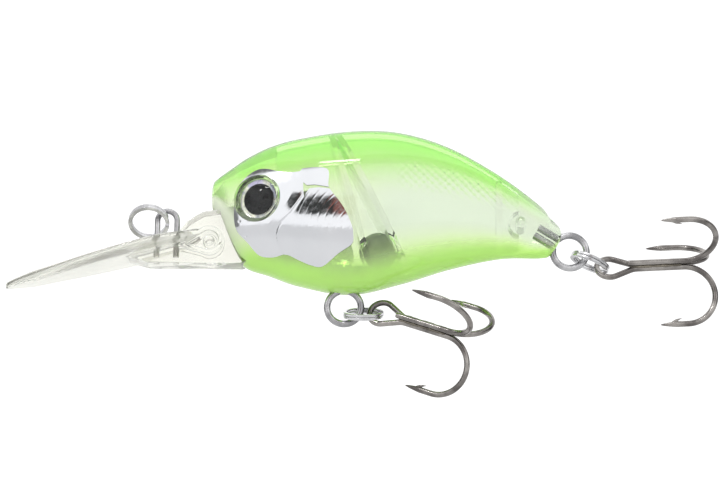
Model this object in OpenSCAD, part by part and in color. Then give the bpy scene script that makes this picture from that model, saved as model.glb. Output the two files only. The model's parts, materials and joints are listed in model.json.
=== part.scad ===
// Diving crankbait: a hollow clear two-part body with a clear bill, two trebles on split rings,
// chrome cheek plates, domed eyes and a loose ballast ball. Millimetres.
// +X runs from the bill to the tail, +Z is up, and the origin is the centre of the line tie's bend.

/* [Body] */
// Wall thickness of the moulded body
wall = 1.2; // [0.8:0.1:1.6]
// Roundness of the body's section, where 2 is an ellipse
section_power = 2.2; // [2:0.1:2.6]
// Thickness of the ribs inside the body
rib_t = 0.9; // [0.6:0.1:1.2]
// Depth of the chrome cheek plate in the body's surface
plate_t = 0.3; // [0.2:0.05:0.4]

/* [Bill] */
// Thickness of the bill's paddle
bill_t = 1.5; // [1.2:0.1:1.8]
// Slope of the paddle
bill_slope = 14.9; // [13:0.1:16]
// Thickness of the neck between the paddle and the head
neck_t = 4.0; // [3.4:0.1:4.4]

/* [Wire] */
// Diameter of the line tie's wire
tie_wire_d = 0.84; // [0.7:0.02:0.9]
// Diameter of the hangers' wire
hanger_wire_d = 1.0; // [0.8:0.05:1]
// Centre-line radius of a hanger's loop
hanger_r = 2.4; // [2.3:0.05:2.5]

/* [Split rings] */
// Middle radius of a split ring
ring_r = 2.65; // [2.6:0.05:2.7]
// Radial thickness of the ring's wire
ring_wire_w = 0.62; // [0.5:0.02:0.64]
// Thickness of one coil of a split ring
coil_t = 0.44; // [0.36:0.02:0.46]

/* [Treble hooks] */
// Diameter of the hook's wire
hook_wire_d = 0.86; // [0.8:0.02:0.9]
// Length of the hook from its eye to the outside of its bend
hook_len = 17.35; // [17:0.05:17.5]
// Radius of the bend
bend_r = 4.15; // [4:0.05:4.2]
// Length of the straight spear behind the bend, with its point
spear_len = 4.0; // [3.6:0.1:4.2]

/* [Eyes] */
// Radius of the clear lens
lens_r = 3.45; // [3.2:0.05:3.5]
// Radius of the silver iris
iris_r = 2.75; // [2.6:0.05:2.8]
// Radius of the pupil
pupil_r = 2.1; // [1.9:0.05:2.2]

/* [Ballast] */
// Radius of the ballast ball
ball_r = 2.7; // [2.5:0.05:2.75]

/* [Hidden] */

$fn = 48;
far = 100;
fit = 0.01;
left = -1;
right = 1;

// Body stations along X: [x, top, bottom, half width].
body_rows = [
    [6.3, 3.05, 2.95, 0.05], [6.45, 5.2, 1.6, 1.2], [7.2, 6.2, 0.7, 2.2], [9.6, 8.0, -4.8, 3.7],
    [11.3, 9.2, -7.0, 4.5], [14.7, 10.9, -8.2, 5.5], [19, 12.1, -9.7, 6.3], [26.2, 13.2, -10.9, 6.8],
    [33.3, 13.0, -9.4, 6.2], [40.5, 10.8, -7.2, 4.9], [47.6, 6.7, -5.7, 3.3], [53.3, 2.3, -5.6, 2.1],
    [54.9, 0.3, -5.1, 1.7], [56.1, -1.0, -3.3, 1.1], [56.5, -2.0, -2.1, 0.05]
];
last_row = len(body_rows) - 1;
body_steps = 42;
body_sides = 40;
cavity_from = 5.3;
cavity_to = 10.4;

// Paddle stations along X: [x, half width], from the tip to the neck.
bill_rows = [
    [-22.7, 0.2], [-22.2, 1.2], [-20, 2.3], [-15, 3.7], [-10, 5.0], [-5, 5.7], [-1, 5.6],
    [2, 4.5], [4, 3.0], [5, 1.9]
];
bill_tip = [-22.7, -9.58];
neck_side = [
    [-6, -5.6], [-1.2, -4.2], [1.6, -2.3], [3, -0.5], [4.2, 0.3], [5.3, 0.9], [10, 1.6],
    [13.6, 1.4], [13.6, -5.2], [10.9, -6.7], [-2.5, -6.6]
];
boss_at = [6.1, -3.3];
boss_r = 2.0;

tie_r = 1.4;
tie_leg = 5.4;
line_ring_hinge = [0, -0.2];
line_ring_tilt = [-38, 0, 0];

belly_loop = [25.34, -12.75];
belly_leg_angle = 90;
belly_leg = 6.2;
belly_ring_at = [28.05, 0, -13.7];
belly_ring_tilt = [24, 0, 0];
belly_hook_eye = [30.7, 0, -13.6];
belly_hook_turn = [67.7, 20.85, -20.4];

tail_loop = [57.53, -4.61];
tail_leg_angle = 148.7;
tail_leg = 5.6;
tail_ring_at = [60.4, 0, -6.2];
tail_ring_tilt = [0, 25, 0];
tail_hook_eye = [63.1, 0, -7.0];
tail_hook_turn = [60, -2.6, 0];

// Treble, along its own X from the outer end of the eye. Its single hook points to its own +Z.
wire_r = hook_wire_d / 2;
wire_off = wire_r * 1.04;
third_off = wire_r * 1.34;
hook_eye_r = 1.78;
hook_eye_s = hook_eye_r + wire_r;
legs_meet_s = 5.6;
eye_leg_angle = 60;
leg_overlap = 0.2;
bend_s = hook_len - bend_r - wire_r;
tip_s = bend_s - spear_len;
taper_len = 1.7;
barb_from = 1.9;
barb_len = 1.3;
barb_h = 0.42;

eye_at = [13.05, -4.75, 2.0];
eye_yaw = -22;
socket_depth = 1.5;
iris_t = 0.3;
pupil_t = 0.25;
lens_dome = 1.15;

// Cheek plate's outline seen from the side, as [x, z].
plate_outline = [
    [9.67, 3.63], [9.37, 1.23], [9.27, -0.83], [9.73, -2.63], [11.23, -4.33], [12.83, -6.03],
    [14.83, -6.43], [16.63, -6.23], [20.13, -7.73], [21.83, -7.93], [24.03, -6.33], [25.93, -5.03],
    [26.13, -3.63], [25.83, -2.23], [24.73, 0.23], [23.13, 2.43], [22.63, 3.43], [22.43, 5.93],
    [19.23, 6.13], [18.43, 5.63], [16.23, 5.63], [13.23, 6.43], [11.23, 5.63]
];

gill_line = [[5.33, -47], [5.2, -37], [5.14, -26], [5.58, -9], [5.93, 0], [6.03, 5], [6.03, 10]];
flap_line = [[6.03, 10], [6.28, 9.6], [6.54, 8.6]];
groove_r = 0.14;

ball_at = [30.15, 0, -4.6];
ball_play = 0.3;
ball_gap = 0.2;
pad_x = [21.6, 29.2];
tail_pin = [50.5, -0.78];
tail_pin_r = 1.0;
scale_rows = 3;
scale_columns = 6;

// One step of a smooth curve through four rows.
function blend_rows(a, b, c, d, t) =
    0.5 * (2 * b + (c - a) * t + (2 * a - 5 * b + 4 * c - d) * t * t
        + (3 * b - a - 3 * c + d) * t * t * t);

function row_at(rows, u) =
    let (top = len(rows) - 1, i = min(floor(u), top - 1))
    blend_rows(rows[max(i - 1, 0)], rows[i], rows[i + 1], rows[min(i + 2, top)], u - i);

function rounded(c) = sign(c) * pow(abs(c), 2 / section_power);

// Point of the body's surface at station u and angle a about X, drawn in by inset.
function body_point(u, a, inset = 0) =
    let (
        row = row_at(body_rows, u),
        mid = (row[1] + row[2]) / 2,
        high = max((row[1] - row[2]) / 2 - inset, 0.03),
        wide = max(row[3] - inset, 0.03)
    )
    [row[0], wide * rounded(cos(a)), mid + high * rounded(sin(a))];

// Closed body-shaped solid between two stations.
module body_loft(from = 0, to = last_row, steps = body_steps, inset = 0) {
    n = body_sides;
    points = [
        for (i = [0:steps], k = [0:n - 1]) body_point(from + (to - from) * i / steps, 360 * k / n, inset)
    ];
    sides = [
        for (i = [0:steps - 1], k = [0:n - 1])
        [i * n + k, (i + 1) * n + k, (i + 1) * n + (k + 1) % n, i * n + (k + 1) % n]
    ];
    caps = [[for (k = [0:n - 1]) k], [for (k = [n - 1:-1:0]) steps * n + k]];
    polyhedron(points, concat(sides, caps), convexity = 4);
}

module side_space(side) {
    translate([-far / 4, side == left ? -far : 0, -far / 2]) cube([far, far, far]);
}

// Extrudes an outline drawn as [x, z] evenly about the middle plane.
module upright(thickness) {
    rotate([90, 0, 0]) linear_extrude(thickness, center = true) children();
}

module cross_pin(at, r, facets) {
    translate([at[0], 0, at[1]]) rotate([90, 0, 0]) cylinder(far / 5, r = r, center = true, $fn = facets);
}

module rib(from, to, width = rib_t) {
    hull() for (p = [from, to]) cross_pin(p, width / 2, 16);
}

module inner_ribs() {
    rib([23.4, 12.4], [29.0, -8]);
    rib([24.4, 12], [34.5, -8.2]);
    rib([27.2, -8.1], [35, -8.1], 1.2);
    rib([47.4, 5], [47.4, -6]);
    hull() for (x = pad_x) translate([x, 0, -9.4]) sphere(2.6, $fn = 24);
    cross_pin(tail_pin, tail_pin_r + 0.7, 24);
}

// Room for the ballast ball and its short roll between the ribs.
module ball_cell() {
    hull() for (x = [-ball_play, ball_play]) translate(ball_at + [x, 0, 0]) sphere(ball_r + ball_gap, $fn = 40);
}

// Slanted scale ridges along the inside of the wall.
module scale_ridges(side) {
    middle = side == left ? 180 : 0;
    for (i = [0:scale_columns - 1], j = [0:scale_rows - 1])
        hull() for (k = [0, 1])
            translate(body_point(8.1 + 0.3 * (i + k), middle - side * (18 - 20 * (j + 0.7 * k)), wall))
                sphere(0.16, $fn = 6);
}

module plate_prism(side) {
    translate([0, side * far / 4, 0]) upright(far / 2) polygon(plate_outline);
}

module eye_frame(side) {
    translate([eye_at[0], -side * eye_at[1], eye_at[2]]) rotate([-side * 90, 0, -side * eye_yaw]) children();
}

module body_half(side) {
    difference() {
        intersection() {
            body_loft();
            side_space(side);
        }
        difference() {
            body_loft(cavity_from, cavity_to, inset = wall);
            inner_ribs();
            scale_ridges(side);
        }
        ball_cell();
        difference() {
            plate_prism(side);
            body_loft(inset = plate_t);
        }
        eye_frame(side) translate([0, 0, -socket_depth]) cylinder(far / 4, r = lens_r + 2 * fit);
        bill_solid(fit);
        loop_wire(belly_loop, belly_leg_angle, belly_leg, fit);
        loop_wire(tail_loop, tail_leg_angle, tail_leg, fit);
    }
}

module body_left() {
    color([0.72, 1, 0.52, 0.6]) body_half(left);
}

module body_right() {
    color([0.72, 1, 0.52, 0.6]) body_half(right);
}

module bill_solid(grow = 0) {
    slope = tan(bill_slope);
    plan = [for (u = [0:0.5:len(bill_rows) - 1]) row_at(bill_rows, u)];
    reach = 5 - bill_tip[0];
    intersection() {
        translate([0, 0, -far / 4]) linear_extrude(far / 2)
            polygon(concat(plan, [for (i = [len(plan) - 1:-1:0]) [plan[i][0], -plan[i][1]]]));
        upright(far / 2) translate(bill_tip) polygon([
            [-1, -0.35 - slope], [4, slope * 4 - bill_t / 2], [reach, slope * reach - bill_t / 2],
            [reach, slope * reach + bill_t / 2], [4, slope * 4 + bill_t / 2], [-1, 0.35 - slope]
        ]);
    }
    upright(neck_t + 2 * grow) polygon(neck_side);
    translate([boss_at[0], 0, boss_at[1]]) rotate([90, 0, 0])
        cylinder(neck_t + 0.5, r = boss_r, center = true);
}

module bill() {
    color([0.92, 0.92, 0.88, 0.7]) difference() {
        bill_solid();
        for (side = [left, right])
            translate([boss_at[0], side * (neck_t / 2 + 0.4), boss_at[1]]) rotate([90, 0, 0])
                cylinder(0.9, r = boss_r - 0.6, center = true);
        for (x = [-tie_r, tie_r])
            translate([x, 0, -tie_leg - fit]) cylinder(tie_leg + 1, d = tie_wire_d + 2 * fit);
    }
}

module line_tie_wire() {
    color("silver") {
        rotate([90, 0, 0]) rotate_extrude(angle = 180) translate([tie_r, 0]) circle(d = tie_wire_d);
        for (x = [-tie_r, tie_r]) translate([x, 0, -tie_leg]) cylinder(tie_leg, d = tie_wire_d);
    }
}

// Two coils of flat-sided wire, side by side.
module split_ring() {
    w = ring_wire_w / 2;
    c = 0.1;
    rotate_extrude() translate([ring_r, 0]) polygon([
        [-w + c, -coil_t], [w - c, -coil_t], [w, -coil_t + c], [w, -c], [w - c, 0], [w, c],
        [w, coil_t - c], [w - c, coil_t], [-w + c, coil_t], [-w, coil_t - c], [-w, c],
        [-w + c, 0], [-w, -c], [-w, -coil_t + c]
    ]);
}

module line_tie_ring() {
    color("gainsboro") translate([line_ring_hinge[0] - ring_r, 0, line_ring_hinge[1]])
        rotate(line_ring_tilt) split_ring();
}

// Wire loop in the middle plane, with two legs that run off at an angle into the body.
module loop_wire(at, angle, leg, grow = 0) {
    r = hanger_wire_d / 2 + grow;
    translate([at[0], 0, at[1]]) rotate([90, 0, 0]) {
        rotate_extrude() translate([hanger_r, 0]) circle(r);
        rotate([0, 0, angle]) for (y = [-0.62, 0.62])
            translate([2.2, y, 0]) rotate([0, 90, 0]) cylinder(leg - 2.2 + grow, r = r);
    }
}

module belly_hanger() {
    color("silver") loop_wire(belly_loop, belly_leg_angle, belly_leg);
}

module tail_hanger() {
    color("silver") loop_wire(tail_loop, tail_leg_angle, tail_leg);
}

module belly_ring() {
    color("gainsboro") translate(belly_ring_at) rotate(belly_ring_tilt) split_ring();
}

module tail_ring() {
    color("gainsboro") translate(tail_ring_at) rotate(tail_ring_tilt) split_ring();
}

// One shank wire with its bend, point and barb, in the plane of X and +Z.
module prong(shank_from, off) {
    spear_z = off + 2 * bend_r;
    translate([shank_from, 0, off]) rotate([0, 90, 0]) cylinder(bend_s - shank_from, r = wire_r);
    translate([bend_s, 0, off + bend_r]) rotate([90, 0, 0]) rotate([0, 0, -90])
        rotate_extrude(angle = 180) translate([bend_r, 0]) circle(wire_r);
    translate([tip_s + taper_len, 0, spear_z]) rotate([0, 90, 0]) cylinder(spear_len - taper_len, r = wire_r);
    translate([tip_s, 0, spear_z]) rotate([0, 90, 0]) cylinder(taper_len, r1 = 0.04, r2 = wire_r);
    upright(0.34) translate([tip_s + barb_from, spear_z]) polygon([
        [-0.4, -wire_r + 0.2], [barb_len, -wire_r - barb_h], [barb_len - 0.35, -wire_r + 0.2]
    ]);
}

// The two wires that close in from the eye to the shank.
module eye_legs() {
    shank_y = wire_off * sin(120);
    reach = legs_meet_s - hook_eye_s;
    for (side = [-1, 1]) {
        start = hook_eye_r * [cos(eye_leg_angle), side * sin(eye_leg_angle)];
        run = [reach, side * shank_y] - start;
        translate(start) rotate([0, 90, atan2(run[1], run[0])])
            cylinder(norm(run) + leg_overlap, r = wire_r - 0.02);
    }
}

module double_hook() {
    for (turn = [-120, 120]) rotate([turn, 0, 0]) prong(legs_meet_s - leg_overlap / 2, wire_off);
    translate([hook_eye_s, 0, wire_off * cos(120)]) {
        rotate_extrude() translate([hook_eye_r, 0]) circle(wire_r);
        eye_legs();
    }
}

module single_hook() {
    prong(legs_meet_s - 0.9, third_off);
}

module place_hook(eye, turn) {
    translate(eye) rotate(turn) translate([-hook_eye_s, 0, -wire_off * cos(120)]) children();
}

module belly_double_hook() {
    color("dimgray") place_hook(belly_hook_eye, belly_hook_turn) double_hook();
}

module belly_single_hook() {
    color("dimgray") place_hook(belly_hook_eye, belly_hook_turn) single_hook();
}

module tail_double_hook() {
    color("dimgray") place_hook(tail_hook_eye, tail_hook_turn) double_hook();
}

module tail_single_hook() {
    color("dimgray") place_hook(tail_hook_eye, tail_hook_turn) single_hook();
}

// Shallow groove along a route of [station, angle] points on the body's surface.
module plate_groove(side, route) {
    for (i = [0:len(route) - 2])
        hull() for (at = [route[i], route[i + 1]]) {
            p = body_point(at[0], at[1]);
            translate([p[0], side * p[1], p[2]]) sphere(groove_r, $fn = 6);
        }
}

module cheek_plate(side) {
    difference() {
        intersection() {
            body_loft(inset = fit);
            plate_prism(side);
        }
        body_loft(inset = plate_t - fit);
        eye_frame(side) translate([0, 0, -far / 8]) cylinder(far / 4, r = lens_r + 2 * fit);
        plate_groove(side, gill_line);
        plate_groove(side, flap_line);
    }
}

module left_cheek_plate() {
    color("lightsteelblue") cheek_plate(left);
}

module right_cheek_plate() {
    color("lightsteelblue") cheek_plate(right);
}

module iris(side) {
    color("white") eye_frame(side) translate([0, 0, -socket_depth]) cylinder(iris_t, r = iris_r);
}

module pupil(side) {
    color("black") eye_frame(side) translate([0, 0, -socket_depth + iris_t]) cylinder(pupil_t, r = pupil_r);
}

module left_iris() {
    iris(left);
}

module right_iris() {
    iris(right);
}

module left_pupil() {
    pupil(left);
}

module right_pupil() {
    pupil(right);
}

// Domed lens, hollowed behind for the iris and the pupil.
module eye_lens(side) {
    ball = (lens_r * lens_r + lens_dome * lens_dome) / (2 * lens_dome);
    color([0.95, 0.97, 1, 0.4]) eye_frame(side) translate([0, 0, -socket_depth]) difference() {
        union() {
            cylinder(socket_depth - 0.3, r = lens_r);
            translate([0, 0, socket_depth - 0.3]) intersection() {
                translate([0, 0, lens_dome - ball]) sphere(ball, $fn = 96);
                cylinder(lens_dome + 1, r = lens_r);
            }
        }
        translate([0, 0, -1]) cylinder(1 + iris_t + fit, r = iris_r + fit);
        translate([0, 0, iris_t]) cylinder(pupil_t + fit, r = pupil_r + fit);
    }
}

module left_eye_lens() {
    eye_lens(left);
}

module right_eye_lens() {
    eye_lens(right);
}

module ballast_ball() {
    color("gray") translate(ball_at) sphere(ball_r);
}

body_left();
body_right();
bill();
line_tie_wire();
line_tie_ring();
belly_hanger();
belly_ring();
belly_double_hook();
belly_single_hook();
tail_hanger();
tail_ring();
tail_double_hook();
tail_single_hook();
left_cheek_plate();
right_cheek_plate();
left_iris();
right_iris();
left_pupil();
right_pupil();
left_eye_lens();
right_eye_lens();
ballast_ball();
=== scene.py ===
"""Looks of a diving crankbait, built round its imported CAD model.

Lengths in the recipes are millimetres and become metres when a mesh is made. Places come from the
frame: the body's stations are fractions of its CAD box, the hangers, their rings and the hooks are
placed from the joints' pivots, and the other pieces from the boxes of their own nodes.
"""
import json
import math

import bmesh
import bpy
import numpy as np
from mathutils import Matrix, Vector


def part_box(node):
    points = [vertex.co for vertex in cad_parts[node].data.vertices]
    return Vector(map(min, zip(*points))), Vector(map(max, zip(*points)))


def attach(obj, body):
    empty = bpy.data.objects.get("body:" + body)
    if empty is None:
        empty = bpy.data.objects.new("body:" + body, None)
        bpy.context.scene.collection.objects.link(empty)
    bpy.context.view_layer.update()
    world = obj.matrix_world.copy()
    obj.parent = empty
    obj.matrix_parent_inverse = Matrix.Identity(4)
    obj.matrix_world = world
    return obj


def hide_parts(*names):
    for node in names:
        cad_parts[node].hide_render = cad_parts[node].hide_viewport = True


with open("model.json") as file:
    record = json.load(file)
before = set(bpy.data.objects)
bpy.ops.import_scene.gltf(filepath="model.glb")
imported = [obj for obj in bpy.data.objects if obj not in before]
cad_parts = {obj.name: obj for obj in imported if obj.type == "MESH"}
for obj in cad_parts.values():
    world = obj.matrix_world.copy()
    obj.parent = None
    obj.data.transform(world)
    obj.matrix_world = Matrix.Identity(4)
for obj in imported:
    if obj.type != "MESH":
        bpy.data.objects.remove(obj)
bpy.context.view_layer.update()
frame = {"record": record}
MM = 0.001
LEFT, RIGHT = -1, 1
SIDES = {"left": LEFT, "right": RIGHT}


# ---------------------------------------------------------------- places from the frame

def box_mm(*nodes):
    """Lowest and highest corner of some CAD nodes together, in millimetres."""
    corners = [np.array([list(c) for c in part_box(n)]) / MM for n in nodes]
    return np.min([c[0] for c in corners], axis=0), np.max([c[1] for c in corners], axis=0)


def middle(node):
    low, high = box_mm(node)
    return (low + high) / 2


JOINTS = {j["name"]: j for j in frame["record"]["behaviour"]["joints"]}


def pivot(joint):
    return np.array(JOINTS[joint]["pos_m"]) / MM


# ---------------------------------------------------------------- body form

BODY_LOW, BODY_HIGH = box_mm("body_left", "body_right")
# Stations from nose to tail, as fractions of the body's box: along, top, bottom, half width.
STATIONS = np.array([
    [0.0, 0.576, 0.572, 0.007], [0.003, 0.665, 0.516, 0.176], [0.018, 0.706, 0.479, 0.324],
    [0.066, 0.781, 0.252, 0.544], [0.100, 0.830, 0.161, 0.662], [0.167, 0.900, 0.112, 0.809],
    [0.253, 0.950, 0.050, 0.926], [0.396, 0.995, 0.0, 1.0], [0.538, 0.987, 0.062, 0.912],
    [0.681, 0.896, 0.153, 0.721], [0.823, 0.727, 0.215, 0.485], [0.936, 0.545, 0.219, 0.309],
    [0.968, 0.463, 0.240, 0.25], [0.992, 0.409, 0.314, 0.162], [1.0, 0.368, 0.364, 0.007],
])
LAST_STATION = len(STATIONS) - 1
SECTION_POWER = 2.2
# Least half height and half width of a section.
THIN = 0.03


def spline(rows, u):
    """Rows read along a smooth curve, at the places u."""
    u = np.asarray(u, float)
    i = np.clip(np.floor(u).astype(int), 0, len(rows) - 2)
    t = (u - i)[..., None]
    a, b = rows[np.maximum(i - 1, 0)], rows[i]
    c, d = rows[i + 1], rows[np.minimum(i + 2, len(rows) - 1)]
    return 0.5 * (2 * b + (c - a) * t + (2 * a - 5 * b + 4 * c - d) * t**2 + (3 * b - a - 3 * c + d) * t**3)


def in_body(along, up):
    """X and Z of a place given as fractions of the body's box."""
    size = BODY_HIGH - BODY_LOW
    return BODY_LOW[0] + along * size[0], BODY_LOW[2] + up * size[2]


def station(u):
    """X, top, bottom and half width of the body in millimetres, at the stations u."""
    along, top, bottom, half = np.moveaxis(spline(STATIONS, u), -1, 0)
    x, top = in_body(along, top)
    return x, top, in_body(along, bottom)[1], half * BODY_HIGH[1]


def rounded(c, power=2 / SECTION_POWER):
    """A cosine or sine bent towards a rounded rectangle."""
    return np.sign(c) * np.abs(c) ** power


def body_points(u, angle, inset=0.0):
    """Points of the body's surface, drawn in by inset. Angle 0 is the right side, 90 degrees the back."""
    x, top, bottom, half = station(u)
    high = np.maximum((top - bottom) / 2 - inset, THIN)
    wide = np.maximum(half - inset, THIN)
    y = wide * rounded(np.cos(angle))
    z = (top + bottom) / 2 + high * rounded(np.sin(angle))
    return np.stack(np.broadcast_arrays(x, y, z), axis=-1)


# The body read at many places, in order of X.
TABLE = np.stack(station(np.linspace(0, LAST_STATION, 900)))
TABLE = TABLE[:, np.argsort(TABLE[0])]


def at_x(x):
    """Top, bottom and half width of the body at X."""
    return [np.interp(x, TABLE[0], TABLE[k]) for k in (1, 2, 3)]


def side_y(x, z):
    """How far the body's side stands from the middle plane at X and Z."""
    top, bottom, half = at_x(x)
    rise = np.abs(z - (top + bottom) / 2) / ((top - bottom) / 2)
    return half * (1 - np.clip(rise, 0, 0.999) ** SECTION_POWER) ** (1 / SECTION_POWER)


# ---------------------------------------------------------------- mesh helpers

def add_object(name, data):
    obj = bpy.data.objects.new(name, data)
    bpy.context.collection.objects.link(obj)
    return obj


def to_object(name, points, faces):
    """A mesh object from points in millimetres."""
    mesh = bpy.data.meshes.new(name)
    mesh.from_pydata((np.asarray(points, float) * MM).tolist(), [], [list(f) for f in faces])
    mesh.validate()
    return add_object(name, mesh)


def fix_normals(obj):
    b = bmesh.new()
    b.from_mesh(obj.data)
    bmesh.ops.remove_doubles(b, verts=b.verts, dist=1e-7)
    bmesh.ops.recalc_face_normals(b, faces=b.faces)
    b.to_mesh(obj.data)
    b.free()
    return obj


def grid_faces(rows, cols, wrap):
    """Quads of a grid of points, with its columns joined round if wrap."""
    last = cols if wrap else cols - 1
    return [(i * cols + k, (i + 1) * cols + k, (i + 1) * cols + (k + 1) % cols, i * cols + (k + 1) % cols)
            for i in range(rows - 1) for k in range(last)]


def loft(name, rings):
    """Closed solid through rings of points, with flat ends."""
    rows, cols = rings.shape[:2]
    faces = grid_faces(rows, cols, True)
    faces += [tuple(range(cols)), tuple((rows - 1) * cols + k for k in reversed(range(cols)))]
    return fix_normals(to_object(name, rings.reshape(-1, 3), faces))


def prism(name, outline, low, high):
    """Solid of an [x, z] outline, from Y low to Y high."""
    n = len(outline)
    points = [(x, y, z) for y in (low, high) for x, z in outline]
    faces = [(k, (k + 1) % n, n + (k + 1) % n, n + k) for k in range(n)]
    faces += [tuple(range(n)), tuple(range(2 * n - 1, n - 1, -1))]
    return fix_normals(to_object(name, points, faces))


# A lathe's profile stops this short of its axis.
AXIS_R = 0.001


def lathe(name, profile, count=128):
    """Solid of revolution about Z from a closed [r, z] profile."""
    t = np.linspace(0, 2 * np.pi, count, endpoint=False)
    profile = np.asarray(profile, float)
    rings = np.stack([np.outer(np.cos(t), profile[:, 0]), np.outer(np.sin(t), profile[:, 0]),
                      np.tile(profile[:, 1], (count, 1))], axis=-1)
    n = len(profile)
    faces = [(i * n + k, j * n + k, j * n + (k + 1) % n, i * n + (k + 1) % n)
             for i, j in zip(range(count), [*range(1, count), 0]) for k in range(n)]
    return fix_normals(to_object(name, rings.reshape(-1, 3), faces))


def bore(name, r, low, high, count=128):
    """Round bar along Z, to cut a hole with."""
    return lathe(name, [(AXIS_R, low), (r, low), (r, high), (AXIS_R, high)], count)


def frames_along(path):
    """Two unit directions square to an open path at each point, turning as little as they can."""
    ahead = np.gradient(path, axis=0)
    ahead /= np.linalg.norm(ahead, axis=1)[:, None]
    side = np.zeros_like(path)
    start = np.cross(ahead[0], [0, 0, 1.0])
    if np.linalg.norm(start) < 0.1:
        start = np.cross(ahead[0], [0, 1.0, 0])
    side[0] = start / np.linalg.norm(start)
    for i in range(1, len(path)):
        v = side[i - 1] - ahead[i] * np.dot(side[i - 1], ahead[i])
        side[i] = v / np.linalg.norm(v)
    return side, np.cross(ahead, side)


def sweep(name, path, radius, sides=20):
    """Round wire along an open path, with its radius given at each point or once."""
    path = np.asarray(path, float)
    radius = np.broadcast_to(np.asarray(radius, float), (len(path),))
    side, up = frames_along(path)
    t = np.linspace(0, 2 * np.pi, sides, endpoint=False)
    rings = path[:, None] + radius[:, None, None] * (
        side[:, None] * np.cos(t)[None, :, None] + up[:, None] * np.sin(t)[None, :, None])
    return loft(name, rings)


def slab(name, top, low):
    """Closed solid between two grids of points."""
    rows, cols = top.shape[:2]
    n = rows * cols
    faces = grid_faces(rows, cols, False)
    faces += [tuple(n + v for v in reversed(f)) for f in faces]
    edge = [i * cols for i in range(rows)] + [n - cols + k for k in range(1, cols)]
    edge += [i * cols + cols - 1 for i in range(rows - 2, -1, -1)] + list(range(cols - 2, 0, -1))
    faces += [(a, b, n + b, n + a) for a, b in zip(edge, edge[1:] + edge[:1])]
    return fix_normals(to_object(name, np.vstack([top.reshape(-1, 3), low.reshape(-1, 3)]), faces))


def straight(a, b, step=0.25):
    """Points from a up to b, without b itself."""
    a, b = np.asarray(a, float), np.asarray(b, float)
    n = max(int(np.linalg.norm(b - a) / step), 2)
    return [a + (b - a) * i / n for i in range(n)]


def join(name, objects):
    """One object from several."""
    mesh = bpy.data.meshes.new(name)
    b = bmesh.new()
    for o in objects:
        b.from_mesh(o.data)
        bpy.data.objects.remove(o)
    b.to_mesh(mesh)
    b.free()
    return add_object(name, mesh)


def settle(obj):
    """Turns an object's modifiers into its mesh."""
    dg = bpy.context.evaluated_depsgraph_get()
    dg.update()
    mesh = bpy.data.meshes.new_from_object(obj.evaluated_get(dg))
    obj.modifiers.clear()
    old = obj.data
    obj.data = mesh
    bpy.data.meshes.remove(old)
    return obj


def carve(obj, tools, how="DIFFERENCE"):
    """Boolean of an object with some tools, which are used up."""
    for tool in tools:
        m = obj.modifiers.new("carve", "BOOLEAN")
        m.operation = how
        m.solver = "MANIFOLD"
        m.object = tool
        settle(obj)
        bpy.data.objects.remove(tool)
    return obj


def remesh(obj, voxel, smooth, rounds):
    """Melts an object's parts into one skin and softens its edges."""
    m = obj.modifiers.new("voxels", "REMESH")
    m.mode = "VOXEL"
    m.voxel_size = voxel * MM
    s = obj.modifiers.new("soften", "SMOOTH")
    s.factor = smooth
    s.iterations = rounds
    return settle(obj)


def shade(obj, sharp_degrees=35):
    obj.data.shade_smooth()
    obj.data.set_sharp_from_angle(angle=math.radians(sharp_degrees))
    return obj


def finish_piece(obj, material, body, slot, *nodes):
    """Gives a piece its material and body, and hides the CAD nodes that it stands for. The slot is not
    used.
    """
    obj.data.materials.clear()
    obj.data.materials.append(material)
    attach(obj, body)
    if nodes:
        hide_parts(*nodes)
    return obj


# ---------------------------------------------------------------- material helpers

def srgb(r, g, b):
    """Linear colour from 0-255 sRGB values."""
    def linear(v):
        v /= 255
        return v / 12.92 if v <= 0.04045 else ((v + 0.055) / 1.055) ** 2.4
    return linear(r), linear(g), linear(b), 1.0


class Nodes:
    """A node tree being built, with short ways to add and link nodes."""

    def __init__(self, tree):
        self.tree = tree

    def node(self, kind, inputs=(), **settings):
        n = self.tree.nodes.new(kind)
        for key, value in settings.items():
            setattr(n, key, value)
        for key, value in dict(inputs).items():
            if isinstance(value, bpy.types.NodeSocket):
                self.tree.links.new(value, n.inputs[key])
            else:
                n.inputs[key].default_value = value
        return n

    def ramp(self, value, low, high, to_low=0.0, to_high=1.0):
        """A smooth step from to_low to to_high as the value goes from low to high."""
        inputs = {"Value": value, "From Min": low, "From Max": high, "To Min": to_low, "To Max": to_high}
        return self.node("ShaderNodeMapRange", inputs, interpolation_type="SMOOTHSTEP").outputs["Result"]

    def math(self, operation, a, b=0.0):
        return self.node("ShaderNodeMath", {0: a, 1: b}, operation=operation).outputs[0]

    def times(self, first, *others):
        for other in others:
            first = self.math("MULTIPLY", first, other)
        return first

    def mix(self, factor, a, b):
        return self.node("ShaderNodeMix", {"Factor": factor, 6: a, 7: b}, data_type="RGBA").outputs[2]


class Shader(Nodes):
    """A material being built round its Principled shader."""

    def __init__(self, name, **values):
        self.material = bpy.data.materials.new(name)
        self.material.use_nodes = True
        super().__init__(self.material.node_tree)
        self.main = self.tree.nodes["Principled BSDF"]
        for key, value in values.items():
            self.main.inputs[key.replace("_", " ")].default_value = value

    def place(self):
        return self.node("ShaderNodeTexCoord").outputs["Object"]

    def attribute(self, name):
        return self.node("ShaderNodeAttribute", attribute_name=name).outputs["Fac"]

    def noise(self, scale, detail=4.0, rough=0.5, vector=None):
        inputs = {"Vector": vector or self.place(), "Scale": scale, "Detail": detail, "Roughness": rough}
        return self.node("ShaderNodeTexNoise", inputs).outputs["Fac"]

    def bump(self, height, strength, distance):
        n = self.node("ShaderNodeBump", {"Height": height, "Strength": strength, "Distance": distance})
        self.link(n.outputs["Normal"], "Normal")

    def link(self, socket, name):
        self.tree.links.new(socket, self.main.inputs[name])


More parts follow.
